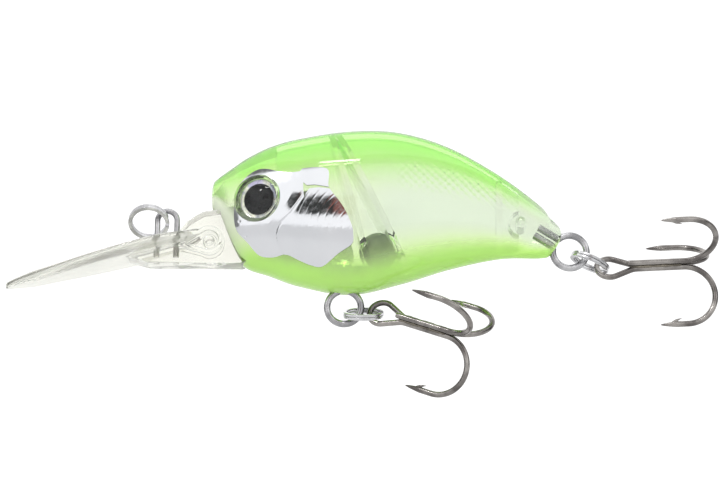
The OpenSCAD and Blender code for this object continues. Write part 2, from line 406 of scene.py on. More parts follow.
def body_material():
    """Clear plastic, painted green on the back and belly and left clear between them.

    Height runs from -1 at the belly to 1 at the back, and along from 0 at the nose to 1 at the tail.
    """
    s = Shader("clear green body", Roughness=0.04, IOR=1.28, Coat_Weight=0.6, Coat_Roughness=0.03)
    height, along = s.attribute("height"), s.attribute("along")
    wobble = s.times(s.math("SUBTRACT", s.noise(260, 3), 0.5), 0.10)
    level = s.math("ADD", height, wobble)
    back = s.times(s.ramp(level, 0.28, 0.86), s.ramp(along, 0.99, 0.80))
    belly = s.times(s.ramp(level, -0.30, -0.88), s.ramp(along, 0.03, 0.12))
    paint = s.math("MAXIMUM", back, belly)
    clear = s.mix(s.ramp(along, 0.30, 0.55), srgb(238, 246, 224), srgb(236, 243, 230))
    green = s.mix(s.ramp(level, 0.2, 0.85), srgb(236, 255, 180), srgb(204, 255, 158))
    low_green = s.mix(s.ramp(level, -0.4, -0.95), srgb(236, 255, 180), srgb(200, 255, 128))
    tint = s.mix(s.ramp(level, -0.05, 0.05), low_green, green)
    s.link(s.mix(paint, clear, tint), "Base Color")
    throat = s.times(s.ramp(along, 0.22, 0.13), s.ramp(level, 0.0, -0.4, 0.0, 0.66))
    thick = s.math("MAXIMUM", s.ramp(level, -0.55, -0.92, 0.0, 0.66), throat)
    s.link(s.math("SUBTRACT", s.ramp(paint, 0.0, 1.0, 0.94, 0.88), thick), "Transmission Weight")
    s.bump(s.noise(900, 5), 0.04, 0.00002)
    return s.material


def bill_material():
    """Clear plastic with a faint cloudiness, and quite clear where the body hides it."""
    s = Shader("clear bill", Roughness=0.05, IOR=1.4, Coat_Weight=0.3, Coat_Roughness=0.05)
    cloud = s.noise(180, 4)
    s.link(s.mix(cloud, srgb(250, 250, 242), srgb(238, 239, 230)), "Base Color")
    along = s.node("ShaderNodeSeparateXYZ", {0: s.place()}).outputs[0]
    buried = s.ramp(along, 0.009, 0.011)
    s.link(s.math("MAXIMUM", s.ramp(cloud, 0.2, 0.8, 0.88, 0.80), buried), "Transmission Weight")
    s.link(s.ramp(s.noise(700, 6), 0.3, 0.8, 0.03, 0.12), "Roughness")
    s.bump(s.noise(420, 5), 0.06, 0.00003)
    return s.material


def metal(name, dark, light, rough_low, rough_high, streak=(900, 900, 900), metallic=1.0):
    """Metal whose colour, roughness and fine relief vary along its own grain."""
    s = Shader(name, Metallic=metallic)
    grain = s.node("ShaderNodeMapping", {"Vector": s.place(), "Scale": streak}).outputs["Vector"]
    fine = s.noise(1.0, 6, 0.6, grain)
    worn = s.noise(350, 4)
    s.link(s.mix(s.ramp(worn, 0.35, 0.7), dark, light), "Base Color")
    s.link(s.ramp(fine, 0.25, 0.75, rough_low, rough_high), "Roughness")
    s.bump(fine, 0.05, 0.00002)
    return s.material


def foil_material():
    """Bright cheek plating with a soft brushed haze and fine pores."""
    s = Shader("chrome plating", Metallic=1.0)
    haze = s.noise(240, 5)
    s.link(s.mix(haze, srgb(230, 231, 234), srgb(216, 218, 222)), "Base Color")
    s.link(s.ramp(s.noise(1500, 4), 0.3, 0.8, 0.05, 0.16), "Roughness")
    s.bump(s.noise(430, 5), 0.20, 0.00004)
    return s.material


def iris_material():
    """Silver foil that shifts between lilac, pale yellow and grey, with fine rays."""
    s = Shader("silver iris", Metallic=0.9)
    rays = s.noise(2600, 3)
    drift = s.noise(420, 2)
    tint = s.mix(s.ramp(drift, 0.36, 0.5), srgb(214, 204, 236), srgb(238, 236, 216))
    tint = s.mix(s.ramp(drift, 0.52, 0.66), tint, srgb(168, 170, 182))
    s.link(s.mix(s.ramp(rays, 0.3, 0.8, 0.0, 0.45), tint, srgb(120, 122, 134)), "Base Color")
    s.link(s.ramp(rays, 0.2, 0.8, 0.12, 0.32), "Roughness")
    s.bump(rays, 0.15, 0.00002)
    return s.material


def pupil_material():
    """Black print with a fine grain."""
    s = Shader("black pupil", IOR=1.3, Specular_IOR_Level=0.15)
    grain = s.noise(1800, 4)
    s.link(s.mix(grain, srgb(2, 2, 4), srgb(9, 9, 12)), "Base Color")
    s.link(s.ramp(grain, 0.3, 0.7, 0.18, 0.3), "Roughness")
    return s.material


def lens_material():
    """Clear resin dome."""
    s = Shader("clear lens", IOR=1.3, Specular_IOR_Level=0.2, Transmission_Weight=1.0)
    grain = s.noise(700, 4)
    s.link(s.mix(grain, srgb(255, 255, 255), srgb(246, 250, 250)), "Base Color")
    s.link(s.ramp(grain, 0.3, 0.8, 0.01, 0.04), "Roughness")
    return s.material


CLEAR_GREEN = body_material()
CLEAR_BILL = bill_material()
WIRE_STEEL = metal("drawn steel wire", srgb(150, 150, 152), srgb(214, 214, 216), 0.14, 0.32,
                   streak=(600, 2600, 600))
RING_STEEL = metal("polished ring steel", srgb(176, 176, 178), srgb(232, 232, 234), 0.10, 0.26)
HOOK_STEEL = metal("black nickel", srgb(104, 100, 98), srgb(168, 164, 160), 0.10, 0.26,
                   streak=(500, 2200, 2200))
BRAZE = metal("braze", srgb(84, 80, 74), srgb(138, 132, 120), 0.25, 0.45)
# The ball's grey is its steel. Its green tint is a painted cast that stands in for green light from the
# shell around it.
BALLAST = metal("ballast steel with painted green cast", srgb(122, 136, 106), srgb(156, 168, 138), 0.35, 0.55, metallic=0.3)
CHROME = foil_material()
IRIS = iris_material()
PUPIL = pupil_material()
LENS = lens_material()


# ---------------------------------------------------------------- body halves

# How far the cutting shapes reach, so that they pass the body's sides.
FAR = 20
WALL = 1.2
# Half the gap between the body's halves.
SEAM = 0.004
# Stations where the hollow starts and ends.
CAVITY = (5.3, 10.4)
RIB_T = 0.9
# Inner ribs: from, to and thickness. These and the places below are fractions of the body's box.
RIBS = [((0.341, 0.963), (0.452, 0.120), RIB_T), ((0.361, 0.946), (0.562, 0.112), RIB_T),
        ((0.416, 0.116), (0.572, 0.116), 1.2), ((0.819, 0.657), (0.819, 0.202), RIB_T)]
TAIL_BOSS = (0.880, 0.418)
TAIL_BOSS_R = 1.7
TAIL_PIN_R = 0.8
TAIL_PIN_REACH = 2
PAD = ((0.305, 0.062), (0.456, 0.062))
PAD_R = 2.6
# The ball's cell, and how far the ball's middle can go each way along it.
BALL_CELL_R = 2.9
BALL_PLAY = 0.3
# Scale lines inside the wall: their pitch, slant and depth, and the X where they fade in and out.
SCALE_PITCH = 1.2
SCALE_SLANT = 0.9
SCALE_DEPTH = 0.14
SCALE_FROM = (31, 34)
SCALE_TO = (51, 45)


def capsule(name, a, b, r):
    """Round-ended bar between two points."""
    way = (b - a) / np.linalg.norm(b - a)
    t = np.linspace(0.02, math.pi / 2, 14)
    start = [(a - way * r * math.cos(v), r * math.sin(v)) for v in t]
    end = [(b + way * r * math.cos(v), r * math.sin(v)) for v in t[::-1]]
    points, radii = zip(*(start + end))
    return sweep(name, points, radii, 40)


def rib_outline(a, b, thickness):
    """Outline of a rib with round ends."""
    a, b = np.array(in_body(*a)), np.array(in_body(*b))
    turn = math.atan2(b[1] - a[1], b[0] - a[0])
    r = thickness / 2
    arc = np.linspace(math.pi / 2, 3 * math.pi / 2, 9)
    start = [a + r * np.array([math.cos(turn + t), math.sin(turn + t)]) for t in arc]
    end = [b + r * np.array([math.cos(turn + t), math.sin(turn + t)]) for t in arc + math.pi]
    return start + end


def circle(x, z, r):
    t = np.linspace(0, 2 * np.pi, 48, endpoint=False)
    return [(x + r * math.cos(v), z + r * math.sin(v)) for v in t]


def fade(value, start, full):
    """0 at start, 1 at full, and a straight run between them."""
    return np.clip((value - start) / (full - start), 0, 1)


def scale_relief(u, angle):
    """Depth of the crossed scale lines moulded on the inside of the wall."""
    x, top, bottom, _ = station(u)
    level = np.sin(angle)
    z = (top + bottom) / 2 + (top - bottom) / 2 * level
    lines = sum(np.cos(2 * np.pi * (x + way * SCALE_SLANT * z) / SCALE_PITCH) for way in (1, -1)) / 2
    region = fade(x, *SCALE_FROM) * fade(x, *SCALE_TO) * fade(level, -0.25, -0.05) * fade(level, 0.75, 0.55)
    return SCALE_DEPTH * lines * region


def body_solid(name, from_u, to_u, rows, cols, inset=0.0, relief=None):
    """The body's form between two stations, drawn in by inset and by a relief."""
    u = np.linspace(from_u, to_u, rows)[:, None]
    angle = np.linspace(0, 2 * np.pi, cols, endpoint=False)[None, :]
    depth = inset + (relief(u, angle) if relief else 0.0)
    return loft(name, body_points(u, angle, depth))


def half_space(side):
    """Block that covers one side of the middle plane, less half the seam."""
    size = 80
    low, high = (SEAM, size) if side == RIGHT else (-size, -SEAM)
    return prism("half", [(-size, -size), (size, -size), (size, size), (-size, size)], low, high)


EYE_YAW = math.radians(22)
IRIS_T = 0.3
LENS_R = 3.45
SOCKET_R = LENS_R + 0.03


def eye_axis(side):
    return Vector((-math.sin(EYE_YAW), side * math.cos(EYE_YAW), 0))


def eye_back(side):
    """Middle of the socket's floor: the middle of the iris, less half its thickness."""
    node = "left_iris" if side == LEFT else "right_iris"
    return middle(node) - np.array(eye_axis(side)) * IRIS_T / 2


def place_eye(obj, side):
    """Turns a piece made along +Z to look out of the head's side, from its socket's floor."""
    turn = eye_axis(side).to_track_quat("Z", "Y").to_matrix().to_4x4()
    obj.data.transform(Matrix.Translation(Vector(eye_back(side) * MM)) @ turn)
    return obj


def paint_attributes(obj):
    """Where each vertex is on the body: its height in the section, and its place along it."""
    mesh = obj.data
    co = np.empty(len(mesh.vertices) * 3)
    mesh.vertices.foreach_get("co", co)
    co = co.reshape(-1, 3) / MM
    top, bottom, _ = at_x(co[:, 0])
    height = (co[:, 2] - (top + bottom) / 2) / np.maximum((top - bottom) / 2, 0.5)
    along = (co[:, 0] - BODY_LOW[0]) / (BODY_HIGH[0] - BODY_LOW[0])
    for name, values in (("height", height), ("along", along)):
        layer = mesh.attributes.new(name, "FLOAT", "POINT")
        layer.data.foreach_set("value", values)


# Outline of the chrome cheek plate: X and Z in millimetres from the eye's middle.
PLATE = np.array([
    [-3.4, 1.6], [-3.7, -0.8], [-3.8, -2.8], [-3.3, -4.6], [-1.8, -6.3], [-0.2, -8.0], [1.8, -8.4],
    [3.6, -8.2], [5.4, -9.0], [7.1, -9.7], [8.8, -9.9], [11.0, -8.3], [12.9, -7.0], [13.1, -5.6],
    [12.8, -4.2], [11.7, -1.8], [10.1, 0.4], [9.6, 1.4], [9.4, 3.9], [6.2, 4.1], [5.4, 3.6],
    [3.2, 3.6], [0.2, 4.4], [-1.8, 3.6],
])
PLATE_T = 0.3


def smooth_outline(points):
    """A closed outline with its corners eased, by six points for each one given."""
    n = len(points)
    around = np.vstack([points[-1:], points, points[:2]])
    return spline(around, np.linspace(1, n + 1, n * 6, endpoint=False))


def plate_outline():
    eye = middle("left_iris")
    return [(eye[0] + x, eye[2] + z) for x, z in smooth_outline(PLATE)]


def body_cavity():
    """The hollow, less what stands in it, and with the ball's cell."""
    cavity = body_solid("cavity", *CAVITY, 220, 144, WALL, scale_relief)
    ribs = [prism("rib", rib_outline(*rib), -FAR, FAR) for rib in RIBS]
    boss = prism("boss", circle(*in_body(*TAIL_BOSS), TAIL_BOSS_R), -FAR, FAR)
    start, end = (np.array([x, 0, z]) for x, z in (in_body(*p) for p in PAD))
    carve(cavity, ribs + [boss, capsule("pad", start, end, PAD_R)])
    ball = middle("ballast_ball")
    play = np.array([BALL_PLAY, 0, 0])
    return carve(cavity, [capsule("cell", ball - play, ball + play, BALL_CELL_R)], "UNION")


def plate_recess(side):
    """What the cheek plate takes out of the body's side."""
    low, high = (0, FAR) if side == RIGHT else (-FAR, 0)
    recess = prism("recess", plate_outline(), low, high)
    return carve(recess, [body_solid("recess core", 0, LAST_STATION, 200, 120, PLATE_T)])


def body_half(side, name):
    """Half of the body, with its hollow and the places for the eye, plate, tail pin and bill."""
    shell = body_solid(name, 0, LAST_STATION, 260, 144)
    pin = prism("pin hole", circle(*in_body(*TAIL_BOSS), TAIL_PIN_R), -TAIL_PIN_REACH, TAIL_PIN_REACH)
    socket = place_eye(bore("socket", SOCKET_R, 0, FAR), side)
    carve(shell, [half_space(side)], "INTERSECT")
    carve(shell, [body_cavity(), socket, pin, plate_recess(side), neck_prism("neck slot", NECK_FIT)])
    paint_attributes(shell)
    return shade(shell, 32)


# ---------------------------------------------------------------- bill

BILL_LOW, _ = box_mm("bill")
TIP_HALF = 0.35
# Paddle from its tip to the neck: X from the tip, and half width.
PADDLE = np.array([
    [0, 0.2], [0.5, 1.2], [2.7, 2.3], [7.7, 3.7], [12.7, 5.0], [17.7, 5.7], [21.7, 5.6], [24.7, 4.5],
    [26.7, 3.0], [27.7, 1.9],
])
PADDLE_SLOPE = math.tan(math.radians(14.9))
PADDLE_T = 1.5
NECK_T = 4.0
# Clearance round the neck in its slot.
NECK_FIT = 0.02
# Side view of the neck, from the bill's tip: X and Z.
NECK = np.array([
    [16.7, 4.0], [21.5, 5.4], [24.3, 7.3], [25.7, 9.1], [26.9, 9.9], [28.0, 10.5], [32.7, 11.2],
    [36.3, 11.0], [36.3, 4.4], [33.6, 2.9], [20.2, 3.0],
])
# Teardrop boss beside the line tie: its middle from the bill's tip, its radius, and the reach of its point.
BOSS_AT = np.array([28.8, 6.3])
BOSS_R = 2.0
BOSS_REACH = 4.6
# The boss's rim, how much thicker it is at the point, how proud it stands, and the hollow's depth in it.
BOSS_RIM = 0.55
BOSS_LIP = 1.2
BOSS_PROUD = 0.24
BOSS_DEPTH = 0.4
PIP_R = 0.7
PIP_PROUD = 0.1
BILL_VOXEL = 0.11
# The Z between which the line tie's legs are bored, and their clearance.
TIE_BORE = (-5.6, 1.4)
TIE_FIT = 0.02


def bill_tip():
    """X and Z of the paddle's middle at its tip."""
    return np.array([BILL_LOW[0], BILL_LOW[2] + TIP_HALF])


def neck_prism(name, grow=0.0):
    half = NECK_T / 2 + grow
    return prism(name, bill_tip() + NECK, -half, half)


def teardrop(x, z, r, reach):
    """Outline of a round boss that runs forward to a point."""
    t = np.linspace(-2.2, 2.2, 40)
    arc = [(x + r * math.cos(v), z + r * math.sin(v)) for v in t]
    return arc + [(x - reach, z - 0.16 * reach)]


def tie_size():
    """Radius of the line tie's wire, and of its bend."""
    low, high = box_mm("line_tie_wire")
    r = (high[1] - low[1]) / 2
    return r, (high[0] - low[0]) / 2 - r


def bill_paddle(name):
    """Flat diving blade, thin at its tip and rounded at its edges."""
    tip = bill_tip()
    x, half = spline(PADDLE, np.linspace(0, len(PADDLE) - 1, 150)).T
    t = np.linspace(0, 2 * np.pi, 56, endpoint=False)
    thick = np.interp(x, [0, 4], [TIP_HALF + 0.01, PADDLE_T / 2])
    rings = np.stack(np.broadcast_arrays(
        (tip[0] + x)[:, None],
        rounded(np.cos(t), 0.5) * half[:, None],
        (tip[1] + PADDLE_SLOPE * x)[:, None] + rounded(np.sin(t), 0.7) * thick[:, None],
    ), axis=-1)
    return loft(name, rings)


def make_bill():
    """Paddle, neck and boss melted into one piece, with two bores for the line tie."""
    bill = bill_paddle("bill_clear")
    face = NECK_T / 2
    boss = bill_tip() + BOSS_AT
    rim = prism("rim", teardrop(*boss, BOSS_R, BOSS_REACH), -face - BOSS_PROUD, face + BOSS_PROUD)
    carve(bill, [neck_prism("neck"), rim], "UNION")
    hollow = teardrop(*boss, BOSS_R - BOSS_RIM, BOSS_REACH - BOSS_LIP)
    floor = face - BOSS_DEPTH
    carve(bill, [prism("hollow", hollow, low, low + 1) for low in (-floor - 1, floor)])
    carve(bill, [prism("pip", circle(*boss, PIP_R), -face - PIP_PROUD, face + PIP_PROUD)], "UNION")
    remesh(bill, BILL_VOXEL, 0.5, 7)
    wire_r, bend_r = tie_size()
    for x in (-bend_r, bend_r):
        hole = bore("leg hole", wire_r + TIE_FIT, *TIE_BORE, 32)
        hole.data.transform(Matrix.Translation((x * MM, 0, 0)))
        carve(bill, [hole])
    return shade(bill, 40)


# ---------------------------------------------------------------- chrome cheeks and eyes

# Edge of the gill plate, gap below the cheek's top flap, and small dents round the plate's lower front.
# All are X and Z from the eye's middle.
GILL = np.array([
    [3.3, -8.2], [2.6, -6.9], [2.3, -5.2], [2.9, -3.9], [4.2, -2.6], [5.4, -0.9], [6.1, 0.3], [6.2, 1.4],
])
SLIT = np.array([
    [6.05, 1.9], [6.55, 1.45], [7.7, 1.5], [9.9, 1.08], [9.9, 0.86], [8.2, 1.08], [6.9, 0.95],
    [6.45, 0.3], [6.2, -0.4], [6.05, 0.9],
])
DIMPLES = [(-3.0, -3.2), (-2.1, -5.3), (-0.9, -2.9), (-1.7, -3.4), (0.4, -6.3)]
# Depths of the gill's step, the fine arcs, the dents and the fold along the plate's lower edge.
STEP_H = 0.07
ARC_H = 0.005
DENT_H = 0.06
FOLD_H = 0.05
# How far the plate stays below the body's surface, and clear of its recess's floor.
PLATE_SINK = 0.004
PLATE_CLEAR = 0.02


def route_distance(x, z, route):
    """Distance from points to a route, and which side of it they are on."""
    best = np.full(x.shape, 1e9)
    sign = np.ones(x.shape)
    for a, b in zip(route[:-1], route[1:]):
        d = b - a
        t = np.clip(((x - a[0]) * d[0] + (z - a[1]) * d[1]) / d.dot(d), 0, 1)
        px, pz = x - a[0] - t * d[0], z - a[1] - t * d[1]
        dist = np.hypot(px, pz)
        nearer = dist < best
        best = np.where(nearer, dist, best)
        sign = np.where(nearer, np.sign(d[0] * pz - d[1] * px), sign)
    return best, sign


def plate_relief(x, z):
    """How deep the plate's face lies below the body's own surface."""
    route = spline(GILL, np.linspace(0, len(GILL) - 1, 40))
    gill, side = route_distance(x, z, route)
    step = STEP_H * fade(gill, 1.4, 0) * (side > 0)
    groove = STEP_H * np.exp(-((gill / 0.12) ** 2))
    arcs = ARC_H * np.cos(np.pi * np.hypot(x - 16, z + 6.5) / 0.95) ** 12
    arcs = arcs * fade(x, 4.2, 5.0) * fade(z, 3.0, 1.8)
    dents = sum(DENT_H * np.exp(-((np.hypot(x - a, z - b) / 0.16) ** 2)) for a, b in DIMPLES)
    fold = FOLD_H / (1 + np.exp((z + 6.9 + 0.16 * (x - 8)) / 0.06)) * fade(x, 3.4, 4.0)
    return step + groove + arcs + dents + fold


def cheek_plate(side, name):
    """A curved plate that follows the body's side inside its outline."""
    eye_x, _, eye_z = middle("left_iris")
    low, high = PLATE.min(axis=0) - 0.5, PLATE.max(axis=0) + 0.5
    x, z = np.meshgrid(np.linspace(low[0], high[0], 250), np.linspace(low[1], high[1], 220), indexing="ij")
    skin = side_y(eye_x + x, eye_z + z)
    outer = skin - plate_relief(x, z) - PLATE_SINK
    inner = skin - PLATE_T + PLATE_CLEAR
    plate = slab(name, *(np.stack([eye_x + x, side * y, eye_z + z], -1) for y in (outer, inner)))
    carve(plate, [prism("outline", plate_outline(), -FAR, FAR)], "INTERSECT")
    eye_hole = place_eye(bore("eye hole", SOCKET_R, -9, FAR), side)
    carve(plate, [prism("slit", SLIT + (eye_x, eye_z), -FAR, FAR), eye_hole])
    return shade(plate, 40)


def dome_profile(r, edge, rise):
    """Points of a dome from its edge to its top: radius r, rising by rise from the height edge."""
    steps = 24
    ball = (r * r + rise * rise) / (2 * rise)
    full = math.asin(r / ball)
    arc = [(ball * math.sin(full * k / steps), edge + rise - ball + ball * math.cos(full * k / steps))
           for k in range(steps, -1, -1)]
    return [(max(x, AXIS_R / 2), z) for x, z in arc]


# Profiles of the eye's pieces: radius, and height over the socket's floor.
IRIS_PROFILE = [
    (AXIS_R, 0.0), (2.73, 0.0), (2.75, 0.04), (2.75, 0.24), (2.68, 0.30), (2.45, 0.27), (2.3, 0.30),
    (AXIS_R, 0.30),
]
PUPIL_PROFILE = [
    (AXIS_R, 0.30), (2.08, 0.30), (2.1, 0.36), (2.1, 0.46), (2.02, 0.54), (1.0, 0.55), (AXIS_R, 0.55),
]
LENS_PROFILE = [
    (AXIS_R / 2, 0.57), (2.12, 0.57), (2.12, 0.32), (2.77, 0.32), (2.77, 0.0), (3.36, 0.0), (3.44, 0.06),
    (3.44, 1.12), (3.43, 1.32), (3.34, 1.42), (3.20, 1.45), (3.06, 1.42), (2.97, 1.34), (2.92, 1.31),
    *dome_profile(2.88, 1.32, 1.0),
]


def make_eye(side, word):
    """Foil disc, printed pupil and domed lens, one on the other in the socket."""
    for name, profile, material, slot, node in (
            ("iris_foil", IRIS_PROFILE, IRIS, "iris_foil", "iris"),
            ("pupil_disc", PUPIL_PROFILE, PUPIL, "pupil_black", "pupil"),
            ("lens_dome", LENS_PROFILE, LENS, "lens_clear", "eye_lens")):
        piece = shade(place_eye(lathe(f"{word}_{name}", profile), side), 40)
        finish_piece(piece, material, "lure", slot, f"{word}_{node}")


# ---------------------------------------------------------------- wire pieces

def arc_points(centre, r, start, end, count, plane="xz"):
    """Points of an arc, in degrees, in the X-Z or X-Y plane through centre."""
    t = np.radians(np.linspace(start, end, count))
    a, b, still = r * np.cos(t), r * np.sin(t), np.zeros(count)
    return list(np.array(centre) + np.stack([a, still, b] if plane == "xz" else [a, b, still], -1))


def line_tie():
    """Wire staple whose two legs go down into the bill."""
    r, bend = tie_size()
    foot = box_mm("line_tie_wire")[0][2]
    path = straight((bend, 0, foot), (bend, 0, 0)) + arc_points((0, 0, 0), bend, 0, 180, 40)
    path += straight((-bend, 0, -0.1), (-bend, 0, foot))
    return shade(sweep("line_tie_staple", path, r, 24))


# A hanger's loop, and how far each of its legs runs from the line between them.
LOOP_R = 2.4
LEG_GAP = 0.62
# Each hanger's way into the body, in degrees from +X towards +Z, and how far its legs reach.
HANGERS = {"belly": (90, 6.2), "tail": (148.7, 5.6)}


def hanger(word):
    """Wire that leaves the body, goes round its loop and runs back in beside itself."""
    angle, leg = HANGERS[word]
    low, high = box_mm(f"{word}_hanger")
    lead = math.degrees(math.asin(LEG_GAP / LOOP_R))
    path = arc_points((0, 0, 0), LOOP_R, lead + 2, 358 - lead, 96)
    start = straight((leg, 0, LEG_GAP), (path[0][0] + 0.25, 0, LEG_GAP))
    end = straight((path[-1][0] + 0.25, 0, -LEG_GAP), (leg, 0, -LEG_GAP))
    path = start + path + end + [np.array((leg, 0, -LEG_GAP))]
    wire = shade(sweep(f"{word}_hanger_wire", path, (high[1] - low[1]) / 2, 24))
    turn = Matrix.Rotation(math.radians(-angle), 4, "Y")
    wire.data.transform(Matrix.Translation(Vector(pivot(f"{word}_ring_swing") * MM)) @ turn)
    return wire


# A split ring's middle radius, the rise of one turn, its wire's width and corners, and half the gap
# between its turns.
RING_R = 2.65
COIL = 0.44
RING_W = 0.60
RING_CORNER = 0.1
TURN_GAP = 0.012
# Degrees where its wire starts and ends, and where it steps over to the second turn.
RING_ENDS = (14, 706)
RING_STEP = (330, 390)
# Each split ring's body, middle, and tilt in degrees about an axis.
RINGS = {
    "line_tie": ("line_ring", middle("line_tie_ring"), -38, "X"),
    "belly": ("belly_ring", pivot("belly_treble_swing"), 24, "X"),
    "tail": ("tail_ring", pivot("tail_treble_swing"), 25, "Y"),
}


def ring_profile():
    """Flat wire with round corners, about its own middle."""
    w, h = RING_W / 2 - RING_CORNER, COIL / 2 - TURN_GAP - RING_CORNER
    corners = zip((w, -w, -w, w), (h, h, -h, -h), (0, 90, 180, 270))
    return np.array([(x + RING_CORNER * math.cos(a), z + RING_CORNER * math.sin(a))
                     for x, z, start in corners for a in np.radians(np.linspace(start, start + 90, 5))])


def split_ring(name, centre, tilt, axis):
    """Two turns of flat wire with a step between them and two cut ends."""
    degrees = np.linspace(*RING_ENDS, 260)
    step = fade(degrees, *RING_STEP)
    rise = (step * step * (3 - 2 * step) - 0.5) * COIL
    t = np.radians(degrees)
    across, up = ring_profile().T
    reach = RING_R + across[None, :]
    rings = np.stack([reach * np.cos(t)[:, None], reach * np.sin(t)[:, None], rise[:, None] + up], -1)
    obj = loft(name, rings)
    turn = Matrix.Rotation(math.radians(tilt), 4, axis)
    obj.data.transform(Matrix.Translation(Vector(centre) * MM) @ turn)
    return shade(obj, 45)


# ---------------------------------------------------------------- treble hooks

# Each hook lies along +X from its eye. The CAD's wire is a hair thicker than the one drawn here.
HOOK_R = 0.42
CAD_HOOK_R = 0.43
# How far the shanks of the double hook and of the third hook run from the treble's axis.
DOUBLE_OFF = CAD_HOOK_R * 1.04
THIRD_OFF = CAD_HOOK_R * 1.34
EYE_R = 1.78
EYE_AT = EYE_R + CAD_HOOK_R
# Where the legs of the eye have come together, and the whole length with the eye and the bend.
LEGS_MEET = 5.6
HOOK_LENGTH = 17.34
BEND_R = 4.15
SPEAR = 4.0
BEND_AT = HOOK_LENGTH - BEND_R - HOOK_R
TIP_AT = BEND_AT - SPEAR
BARB_FROM = 1.75
BARB_LENGTH = 1.4
BARB_H = 0.40
PRONG_ANGLE = 120
# Length of the needle point, how round its flanks are, and the radius at its tip.
TAPER = 2.2
TAPER_POWER = 0.62
POINT_R = 0.012
# Where each treble's eye hangs from the middle of its ring, and its turns about X, Y and Z in degrees.
TREBLES = {
    "belly": ((2.65, 0, 0.1), (67.7, 20.85, -20.4)),
    "tail": ((2.7, 0, -0.8), (60, -2.6, 0)),
}


def about_x(points, degrees):
    t = math.radians(degrees)
    p = np.asarray(points, float)
    return np.stack([p[:, 0], p[:, 1] * math.cos(t) - p[:, 2] * math.sin(t),
                     p[:, 1] * math.sin(t) + p[:, 2] * math.cos(t)], -1)


def prong_path(start, off):
    """Shank, bend and spear in the plane of X and +Z, from the shank's start to the point."""
    spear_z = off + 2 * BEND_R
    path = straight((start, 0, off), (BEND_AT, 0, off))
    path += arc_points((BEND_AT, 0, off + BEND_R), BEND_R, -90, 90, 44)[:-1]
    path += straight((BEND_AT, 0, spear_z), (TIP_AT, 0, spear_z), 0.12)
    return np.array(path + [np.array((TIP_AT, 0, spear_z))])


def taper(path):
    """The hook wire's radius along a path that ends in a needle point."""
    gone = np.linalg.norm(np.diff(path, axis=0), axis=1)
    left = np.concatenate([np.cumsum(gone[::-1])[::-1], [0]])
    return HOOK_R * np.clip(left / TAPER, 0, 1) ** TAPER_POWER * 0.98 + POINT_R


def barb(off, degrees=0):
    """Sliver cut up from the inside of the spear, pointing away from the tip."""
    z = off + 2 * BEND_R
    t = np.linspace(0, 1, 14)[:, None]
    start = np.array((TIP_AT + BARB_FROM, 0, z - HOOK_R * 0.45))
    end = np.array((TIP_AT + BARB_FROM + BARB_LENGTH, 0, z - HOOK_R - BARB_H))
    path = start + (end - start) * t - np.array((0, 0, 0.10)) * np.sin(t * math.pi)
    obj = sweep("barb", path, np.interp(t[:, 0], [0, 0.4, 1], [0.24, 0.2, 0.015]), 14)
    obj.data.transform(Matrix.Rotation(math.radians(degrees), 4, "X"))
    return obj


def double_hook(name):
    """One wire: point, bend, shank, eye, and back down to the other point."""
    ends = [about_x(prong_path(LEGS_MEET, DOUBLE_OFF), side * PRONG_ANGLE) for side in (-1, 1)]
    y, z = DOUBLE_OFF * math.sin(math.radians(PRONG_ANGLE)), -DOUBLE_OFF / 2
    reach = LEGS_MEET - EYE_AT
    tangent = math.degrees(math.atan2(y, reach) + math.acos(EYE_R / math.hypot(reach, y)))
    eye = arc_points((EYE_AT, 0, z), EYE_R, tangent, 360 - tangent, 70, "xy")
    lead = straight(ends[0][0], eye[0])[1:]
    tail = straight(eye[-1], ends[1][0])[1:]
    path = np.vstack([ends[0][::-1], lead, eye, tail, ends[1]])
    inner = slice(len(ends[0]) - 12, -len(ends[1]) + 12)
    for _ in range(3):
        smoother = (np.roll(path, 1, axis=0) + 2 * path + np.roll(path, -1, axis=0)) / 4
        path[inner] = smoother[inner]
    radius = np.minimum(taper(path), taper(path[::-1])[::-1])
    barbs = [barb(DOUBLE_OFF, side * PRONG_ANGLE) for side in (-1, 1)]
    return join(name, [sweep("wire", path, radius), *barbs])


def single_hook(name):
    """The third hook, whose shank starts between the legs of the double hook's eye."""
    path = prong_path(LEGS_MEET - 0.9, THIRD_OFF)
    radius = taper(path)
    radius[:2] = HOOK_R * np.array([0.86, 0.97])
    return join(name, [sweep("wire", path, radius), barb(THIRD_OFF)])


def braze(name):
    """Filler in the three grooves between the shanks."""
    seams = []
    x = np.linspace(LEGS_MEET - 0.5, BEND_AT - 0.3, 30)
    for angle in (60, 180, 300):
        path = about_x(np.stack([x, 0 * x, 0 * x + DOUBLE_OFF * 1.22], -1), angle)
        radius = 0.17 + 0.03 * np.sin(x * 2.3 + angle) + 0.02 * np.sin(x * 5.1)
        radius[[0, -1]] = 0.03
        seams.append(sweep("seam", path, radius, 12))
    return join(name, seams)


def make_treble(word):
    """A treble hung on its ring: double hook, third hook and the braze between them."""
    hang, turns = TREBLES[word]
    eye = Vector(pivot(f"{word}_treble_swing") + hang)
    roll, pitch, yaw = (Matrix.Rotation(math.radians(v), 4, a) for v, a in zip(turns, "XYZ"))
    to_eye = Matrix.Translation(Vector((-EYE_AT, 0, DOUBLE_OFF / 2)) * MM)
    place = Matrix.Translation(eye * MM) @ yaw @ pitch @ roll @ to_eye
    pieces = (
        (double_hook(f"{word}_double_wire"), HOOK_STEEL, [f"{word}_double_hook"]),
        (single_hook(f"{word}_third_wire"), HOOK_STEEL, [f"{word}_single_hook"]),
        (braze(f"{word}_braze"), BRAZE, []),
    )
    for piece, material, nodes in pieces:
        piece.data.transform(place)
        finish_piece(shade(piece, 50), material, f"{word}_treble", "black_nickel_hook", *nodes)


# Depth of a pit as a share of the ball's radius, and how wide it is in radians.
PIT_DEPTH = 0.012
PIT_ANGLE = 0.16


